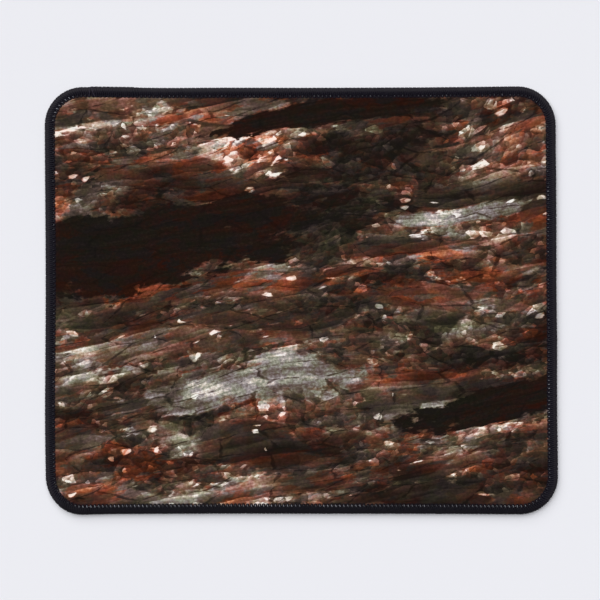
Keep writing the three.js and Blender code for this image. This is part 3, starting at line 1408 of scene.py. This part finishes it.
@dataclass(frozen=True)
class RubberBase:
    """The rubber sheet, with a raised grip on its underside."""

    sizes: PadSizes
    grip: GripPattern = GripPattern()
    finish: Rubber = Rubber()

    def rim(self) -> np.ndarray:
        """Lists the edge's profile.

        Returns:
            Rows of inset and height, from the underside's middle round the cut edge to the top's middle.
        """
        radius, bond, cover = self.sizes.outline.corner_radius, self.sizes.bond, self.sizes.thread_cover
        low = self.grip.depth
        under = [(radius, low), (7 * MM, low), (5.6 * MM, low), (5 * MM, low + 0.08 * MM)]
        under += [(4.6 * MM, 0.42 * MM)]
        edge = [(cover + 0.05 * MM, 0.42 * MM), (cover, 0.47 * MM), (cover, bond - 0.26 * MM)]
        over = [(cover + 0.05 * MM, bond - 0.21 * MM), (4.6 * MM, bond - 0.21 * MM)]
        over += [(5 * MM, bond - 0.11 * MM), (7 * MM, bond - 0.01 * MM), (radius, bond - 0.01 * MM)]
        return np.array(under + edge + over)

    def build(self) -> bpy.types.Object:
        """Builds and dresses the rubber.

        Returns:
            The piece.
        """
        piece = SheetPart(self.sizes.outline).build("rubber_sheet", self.rim())
        points = self.grip.points(self.sizes.outline)
        raised = mesh_of("grip", points, self.grip.quads(len(points) // 8))
        raised.data.shade_flat()
        form = bmesh.new()
        form.from_mesh(piece.data)
        form.from_mesh(raised.data)
        form.to_mesh(piece.data)
        form.free()
        bpy.data.objects.remove(raised)
        piece.data.materials.append(self.finish.material())
        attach(piece, "root")
        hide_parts("rubber_base")
        return piece


# --- The sewn edge ---------------------------------------------------------------------------------------


class Loops(Enum):
    """Which side of the rim a looper thread covers."""

    UPPER = "upper_looper"
    LOWER = "lower_looper"


def out_of_rim(outward: np.ndarray, normal_in: np.ndarray, normal_up: np.ndarray) -> np.ndarray:
    """Joins the inward and upward parts of a direction at each place into rows of x, y and z."""
    return -outward * normal_in[:, None] + UP * normal_up[:, None]


def wavering(rng: np.random.Generator, at: np.ndarray, knots: np.ndarray) -> np.ndarray:
    """Draws a number about zero for each knot, and reads them at places in between along straight lines."""
    return np.interp(at, knots, rng.normal(size=len(knots)))


def tube(
    name: str,
    centres: np.ndarray,
    normals: np.ndarray,
    half_width: np.ndarray,
    half_depth: np.ndarray,
    sides: int,
    inset: np.ndarray,
) -> bpy.types.Object:
    """Sweeps an ellipse along a path.

    The ellipse lies square to the path, with its long axis square to the given normals as well.

    Args:
        name: the piece's name.
        centres: the path's points.
        normals: the direction that the tube's flat side faces at each.
        half_width: half the ellipse's long axis at each.
        half_depth: half its short axis at each.
        sides: how many corners the ellipse has.
        inset: how far inside the outline each point of the path is.

    Returns:
        The closed tube, which carries its inset. Its map runs along it in millimetres and once around it.
    """
    along = unit(np.gradient(centres, axis=0))
    across = unit(np.cross(along, normals))
    facing = np.cross(across, along)
    angle = 2 * math.pi * np.arange(sides) / sides
    ring = np.cos(angle)[None, :, None] * (across * half_width[:, None])[:, None]
    ring = ring + np.sin(angle)[None, :, None] * (facing * half_depth[:, None])[:, None]
    points = (centres[:, None] + ring).reshape(-1, 3)
    last = (len(centres) - 1) * sides
    gone = np.concatenate([[0.0], np.cumsum(np.linalg.norm(np.diff(centres, axis=0), axis=1))]) / MM
    row, column = np.divmod(np.arange(last), sides)
    walked = np.stack([gone[row], gone[row + 1], gone[row + 1], gone[row]], axis=-1)
    turned = np.stack([column, column, column + 1, column + 1], axis=-1) / sides
    uv = np.stack([walked, turned], axis=-1).reshape(-1, 2)
    caps = [np.arange(sides), last + np.arange(sides)[::-1]]
    quads = wrapped_quads(len(centres), sides)
    piece = mesh_of(name, points, quads, caps, np.concatenate([uv, np.zeros((2 * sides, 2))]))
    carry_inset(piece, np.repeat(inset, sides))
    return piece


@dataclass(frozen=True)
class Looper:
    """A thread that goes out and back across the rim twice a stitch.

    It passes once round the needle's thread, and once through the other looper's thread on the side. Its
    slant and wander are in stitches, and its tip and turn are shares of the way across.
    """

    seam: Seam
    loops: Loops
    finish: Thread
    tube_sides: int = 8
    slant: float = 0.6
    slant_from: float = 0.08
    lift: float = 0.24 * MM
    tip: float = 0.07
    turn: float = 0.15
    wander: float = 0.035
    swelling: float = 0.05
    rise: float = 0.015 * MM
    floor_gap: float = 0.01 * MM
    seed: int = 7

    @cached_property
    def profile(self) -> np.ndarray:
        """Lists the thread's way across the rim, from the loop tip to the lock.

        Returns:
            Rows of inset, height, half depth and half width.
        """
        lock = self.seam.sizes.lock / MM
        upper = [
            (4.84, 2.98, 0.17, 0.27),
            (4.54, 2.95, 0.16, 0.31),
            (4.15, 2.94, 0.15, 0.37),
            (3.70, 3.01, 0.18, 0.47),
            (3.10, 3.11, 0.23, 0.55),
            (2.40, 3.15, 0.24, 0.58),
            (1.60, 3.11, 0.24, 0.58),
            (0.95, 2.93, 0.24, 0.56),
            (0.52, 2.55, 0.25, 0.55),
            (0.31, 2.08, 0.26, 0.49),
            (0.27, lock - 0.12, 0.22, 0.36),
        ]
        lower = [
            (4.70, 0.24, 0.14, 0.20),
            (4.20, 0.22, 0.16, 0.32),
            (3.40, 0.21, 0.19, 0.49),
            (2.40, 0.21, 0.19, 0.52),
            (1.50, 0.24, 0.20, 0.52),
            (0.90, 0.36, 0.22, 0.50),
            (0.52, 0.68, 0.24, 0.47),
            (0.35, 1.15, 0.24, 0.38),
            (0.32, lock + 0.12, 0.20, 0.28),
        ]
        return np.array(upper if self.loops is Loops.UPPER else lower) * MM

    def one_stitch(self) -> tuple[np.ndarray, np.ndarray, np.ndarray]:
        """The thread's way through one stitch.

        It starts at the tip of the loop round the needle's thread, runs along one leg to the side, round the
        other looper's thread and back along the next leg. The legs lie a quarter of a stitch either side of
        the tips, and each turn is half an ellipse between two legs.

        Returns:
            How far along the stitch, how far across the rim (0 at the tip, 1 at the lock) and how many half
            stitches of thread have gone, at each point.
        """
        tip, turn = self.tip, self.turn
        quarter = np.radians([90, 60, 30])
        last_quarter = np.radians([60, 30])
        half = np.radians([36, 72, 108, 144])
        leg = np.array([0.0, 0.16, 0.42, 0.66, 0.84, 1.0]) * (1 - tip - turn) + tip
        along = [0.25 * np.cos(quarter), np.full(len(leg), 0.25), 0.5 - 0.25 * np.cos(half)]
        along += [np.full(len(leg), 0.75), 1 - 0.25 * np.sin(last_quarter)]
        across = [tip * (1 - np.sin(quarter)), leg, 1 - turn + turn * np.sin(half)]
        across += [leg[::-1], tip * (1 - np.cos(last_quarter))]
        gone = [np.linspace(0.0, 0.3, 3), np.full(len(leg), 0.5), np.linspace(0.7, 1.3, len(half))]
        gone += [np.full(len(leg), 1.5), np.linspace(1.7, 1.9, 2)]
        return np.concatenate(along), np.concatenate(across), np.concatenate(gone)

    def normals(self, share: np.ndarray) -> tuple[np.ndarray, np.ndarray]:
        """Finds the direction out of the rim, square to the profile's slope.

        Args:
            share: how far along the profile each place is, from 0 to 1.

        Returns:
            The inward and the upward part of the direction at each place.
        """
        step = 1e-3
        after = smooth_through(self.profile, np.minimum(share + step, 1.0))
        before = smooth_through(self.profile, np.maximum(share - step, 0.0))
        inwards, up = (after - before)[:, :2].T
        length = np.hypot(inwards, up)
        sign = 1.0 if self.loops is Loops.UPPER else -1.0
        return sign * up / length, -sign * inwards / length

    def build(self) -> bpy.types.Object:
        """Builds and dresses the thread.

        Returns:
            The piece.
        """
        seam, rng = self.seam, np.random.default_rng(self.seed)
        along, across, gone = self.one_stitch()
        number = np.arange(seam.sewn)[:, None]
        stitches = (number + along[None]).ravel()
        share = np.tile(across, len(number))
        legs = (2 * number + gone[None]).ravel()
        knots = np.arange(2 * len(number) + 2)
        wander, swell, rise = (wavering(rng, legs, knots) for _ in range(3))
        inset, height, half_depth, half_width = smooth_through(self.profile, share).T
        normal_in, normal_up = self.normals(share)
        second = seam.second_layer(stitches)
        raised = self.lift * second + self.rise * rise
        inset = inset + normal_in * raised
        height = np.maximum(height + normal_up * raised, half_depth + self.floor_gap)
        slanted = self.slant * (eased(share, self.slant_from, 1.0) - 0.5)
        stitches = stitches + slanted + self.wander * wander + seam.second_shift * second
        centres, outward = seam.place(stitches, inset, height)
        width = half_width * seam.spread(stitches, inset) * (1 + self.swelling * swell)
        normals = out_of_rim(outward, normal_in, normal_up)
        piece = tube(self.loops.value, centres, normals, width, half_depth, self.tube_sides, inset)
        piece.data.materials.append(self.finish.material())
        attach(piece, "root")
        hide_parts(f"{self.loops.value}_thread")
        return piece


@dataclass(frozen=True)
class NeedleStitches:
    """The needle's thread: one short stitch after another over the loop tips, diving into the pad between."""

    seam: Seam
    finish: Thread
    samples: int = 12
    tube_sides: int = 6
    half_width: float = 0.19 * MM
    half_depth: float = 0.15 * MM
    arch: float = 0.42 * MM
    narrowing: float = 1.6
    low_height: float = 2.75 * MM
    second_lift: float = 0.1 * MM
    rise: float = 0.01 * MM
    outward_shift: float = 0.28 * MM
    lean: float = -0.5 * MM
    wander: float = 0.03 * MM
    swing: float = 0.6
    lag: float = 0.3
    sink: float = 0.38 * MM
    sunk_everywhere: float = 0.8
    sunk_at_back: float = 0.7
    sunk_in_corners: float = 1.8
    proud_at_back_left: float = 6.0
    run_length: int = 24
    run_sink: float = 0.3
    seed: int = 11

    def drawn_in(self, outward: np.ndarray, pull: np.ndarray) -> np.ndarray:
        """Says where the stitches are drawn into the pad.

        The outward direction tells the sides and the corners apart. The product of its x and y is greatest
        halfway round a corner, and y less x is more than 1 only round the one at the back left.

        Args:
            outward: the outward direction at each place.
            pull: how much tighter than others the run of stitches there is.

        Returns:
            1 where they are drawn right in, down to 0 where they stand proud, as they do in front and at the
            back left corner.
        """
        corner = np.abs(outward[:, 0] * outward[:, 1])
        back_left = np.maximum(outward[:, 1] - outward[:, 0] - 1, 0.0)
        sunk = self.sunk_everywhere + self.sunk_at_back * outward[:, 1] + self.sunk_in_corners * corner
        return eased(sunk - self.proud_at_back_left * back_left + self.run_sink * pull, 0.0, 1.0)

    def build(self) -> bpy.types.Object:
        """Builds and dresses the thread.

        Its height is a narrowed cosine with one crest a stitch, behind each loop tip, and it leans across the
        seam there.

        Returns:
            The piece.
        """
        seam, rng = self.seam, np.random.default_rng(self.seed)
        stitches = np.arange(seam.sewn * self.samples) / self.samples
        knots = np.arange(seam.sewn + 1)
        wander, rise = (wavering(rng, stitches, knots) for _ in range(2))
        pull = wavering(rng, stitches, knots[:: self.run_length])
        phase = 2 * math.pi * stitches
        second = seam.second_layer(stitches)
        arch = self.arch * ((1 + np.cos(phase)) / 2) ** self.narrowing
        height = self.low_height + arch + self.second_lift * second + self.rise * rise
        inset = seam.sizes.needle_inset - self.outward_shift
        inset = inset + self.lean * np.sin(phase) + self.wander * wander
        tips = stitches - self.swing * np.sin(phase) / (2 * math.pi) - self.lag + seam.second_shift * second
        _, outward = seam.place(tips, inset, height)
        centres, _ = seam.place(tips, inset, height - self.sink * self.drawn_in(outward, pull))
        normals = np.broadcast_to(UP, centres.shape)
        width, depth = np.full(len(centres), self.half_width), np.full(len(centres), self.half_depth)
        piece = tube("needle_stitches", centres, normals, width, depth, self.tube_sides, inset)
        piece.data.materials.append(self.finish.material())
        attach(piece, "root")
        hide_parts("needle_thread")
        return piece


@dataclass(frozen=True)
class ThreadEnd:
    """A short end of thread that lies bent over the rim, where the sewing stops on top of its own start."""

    looper: Looper
    name: str
    start: float
    bend: float
    finish: Thread
    half_width: float = 0.13 * MM
    flatness: float = 0.8
    above: float = 0.35 * MM
    arch_power: float = 0.35
    reach: tuple[float, float] = (0.02, 0.96)
    samples: int = 28
    tube_sides: int = 8

    def build(self) -> bpy.types.Object:
        """Builds and dresses the end of thread.

        It follows the looper's profile, arches above it by a power of a sine and bends aside by a square.

        Returns:
            The piece.
        """
        share = np.linspace(*self.reach, self.samples)
        inset, height, _, _ = smooth_through(self.looper.profile, share).T
        normal_in, normal_up = self.looper.normals(share)
        above = self.above * np.sin(math.pi * share) ** self.arch_power
        seam = self.looper.seam
        stitches = seam.sewn + self.start + self.bend * (1 - share) ** 2
        centres, outward = seam.place(stitches, inset + normal_in * above, height + normal_up * above)
        width = np.full(self.samples, self.half_width)
        normals = out_of_rim(outward, normal_in, normal_up)
        piece = tube(self.name, centres, normals, width, self.flatness * width, self.tube_sides, inset)
        piece.data.materials.append(self.finish.material())
        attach(piece, "root")
        return piece


# --- The studio ------------------------------------------------------------------------------------------


@dataclass(frozen=True)
class Studio:
    """A pale floor, a broad soft light from the upper left, a weak sky and a camera that looks down."""

    sizes: PadSizes
    floor_half: float = 8.0
    floor_height: float = -0.01 * MM
    key_towards: tuple[float, float, float] = (-0.30, 0.56, 1.0)
    key_strength: float = 3.48
    key_width: float = math.radians(82)
    sky_colour: Colour = (0.84, 0.845, 0.88, 1.0)
    sky_strength: float = 0.12
    seen_sky_strength: float = 1.0
    lens_mm: float = 85.0
    sensor_mm: float = 36.0
    frame_pixels: float = 600.0
    pad_pixels: float = 512.8
    centre_pixel: tuple[float, float] = (300.95, 300.55)

    def floor(self) -> None:
        """Lays the floor just under the pad."""
        x, y = np.meshgrid([-self.floor_half, self.floor_half], [-self.floor_half, self.floor_half])
        points = np.column_stack([x.ravel(), y.ravel(), np.full(4, self.floor_height)])
        piece = mesh_of("floor", points, np.array([[0, 1, 3, 2]]))
        piece.data.materials.append(StudioFloor().material())

    def key(self) -> None:
        """Hangs the key light."""
        lamp = bpy.data.lights.new("key", "SUN")
        lamp.energy = self.key_strength
        lamp.angle = self.key_width
        key = bpy.data.objects.new("key", lamp)
        towards = np.array(self.key_towards) / np.linalg.norm(self.key_towards)
        key.rotation_euler = (math.acos(towards[2]), 0.0, math.atan2(towards[1], towards[0]) + math.pi / 2)
        bpy.context.scene.collection.objects.link(key)

    def sky(self) -> None:
        """Fills the sky, which the camera sees brighter than it shines."""
        world = bpy.data.worlds.new("sky")
        world.use_nodes = True
        nodes, links = world.node_tree.nodes, world.node_tree.links
        background = nodes["Background"]
        background.inputs["Color"].default_value = self.sky_colour
        seen = nodes.new("ShaderNodeLightPath")
        level = nodes.new("ShaderNodeMapRange")
        level.inputs["To Min"].default_value = self.sky_strength
        level.inputs["To Max"].default_value = self.seen_sky_strength
        links.new(seen.outputs["Is Camera Ray"], level.inputs["Value"])
        links.new(level.outputs[0], background.inputs["Strength"])
        bpy.context.scene.world = world

    def camera(self) -> None:
        """Hangs the camera where the pad fills as much of the frame as it should, at the place it should.

        Its distance is to the real width that the frame covers as the lens is to the sensor.
        """
        lens = bpy.data.cameras.new("camera")
        lens.lens, lens.sensor_width = self.lens_mm, self.sensor_mm
        camera = bpy.data.objects.new("camera", lens)
        pixel = 2 * self.sizes.outline.half_width / self.pad_pixels
        distance = pixel * self.frame_pixels * self.lens_mm / self.sensor_mm
        middle = self.frame_pixels / 2
        x = (middle - self.centre_pixel[0]) * pixel
        y = (self.centre_pixel[1] - middle) * pixel
        camera.location = (x, y, self.sizes.lock + distance)
        bpy.context.scene.collection.objects.link(camera)
        bpy.context.scene.camera = camera
        bpy.context.scene.view_settings.view_transform = "Standard"

    def build(self) -> None:
        """Sets the studio up."""
        for step in (self.floor, self.key, self.sky, self.camera):
            step()


# --- The pad ---------------------------------------------------------------------------------------------


def report(piece: bpy.types.Object) -> None:
    """Logs a piece's name and how many faces it has."""
    LOG.info("%s: %d faces", piece.name, len(piece.data.polygons))


def main() -> None:
    """Builds the studio and every piece of the pad."""
    logging.basicConfig(level=logging.INFO, format="%(name)s: %(message)s")
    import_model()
    sizes = PadSizes.from_frame()
    seam = Seam(sizes)
    # The looper's last colour is its painted rim highlight.
    looper_finish = Thread("looper_thread", dye(12, 9, 20), 0.5, dye(47, 44, 48))
    needle, end = dye(30, 28, 34), dye(58, 54, 66)
    # The needle thread takes painted glints.
    needle_finish = Thread("needle_thread", needle, 0.36, needle, gloss=0.35, painted_glint_share=1.0, twist_mm=0.8)
    end_finish = Thread("thread_end", end, 0.5, end)
    Studio(sizes).build()
    rubber = RubberBase(sizes).build()
    report(rubber)
    report(Cloth(sizes).build(rubber))
    upper = Looper(seam, Loops.UPPER, looper_finish)
    report(upper.build())
    report(ThreadEnd(upper, "first_thread_end", 0.45, 0.3, end_finish).build())
    report(ThreadEnd(upper, "second_thread_end", 0.0, -0.8, end_finish, above=0.58 * MM).build())
    report(Looper(seam, Loops.LOWER, looper_finish, seed=8).build())
    report(NeedleStitches(seam, needle_finish).build())


if __name__ == "__main__":
    main()
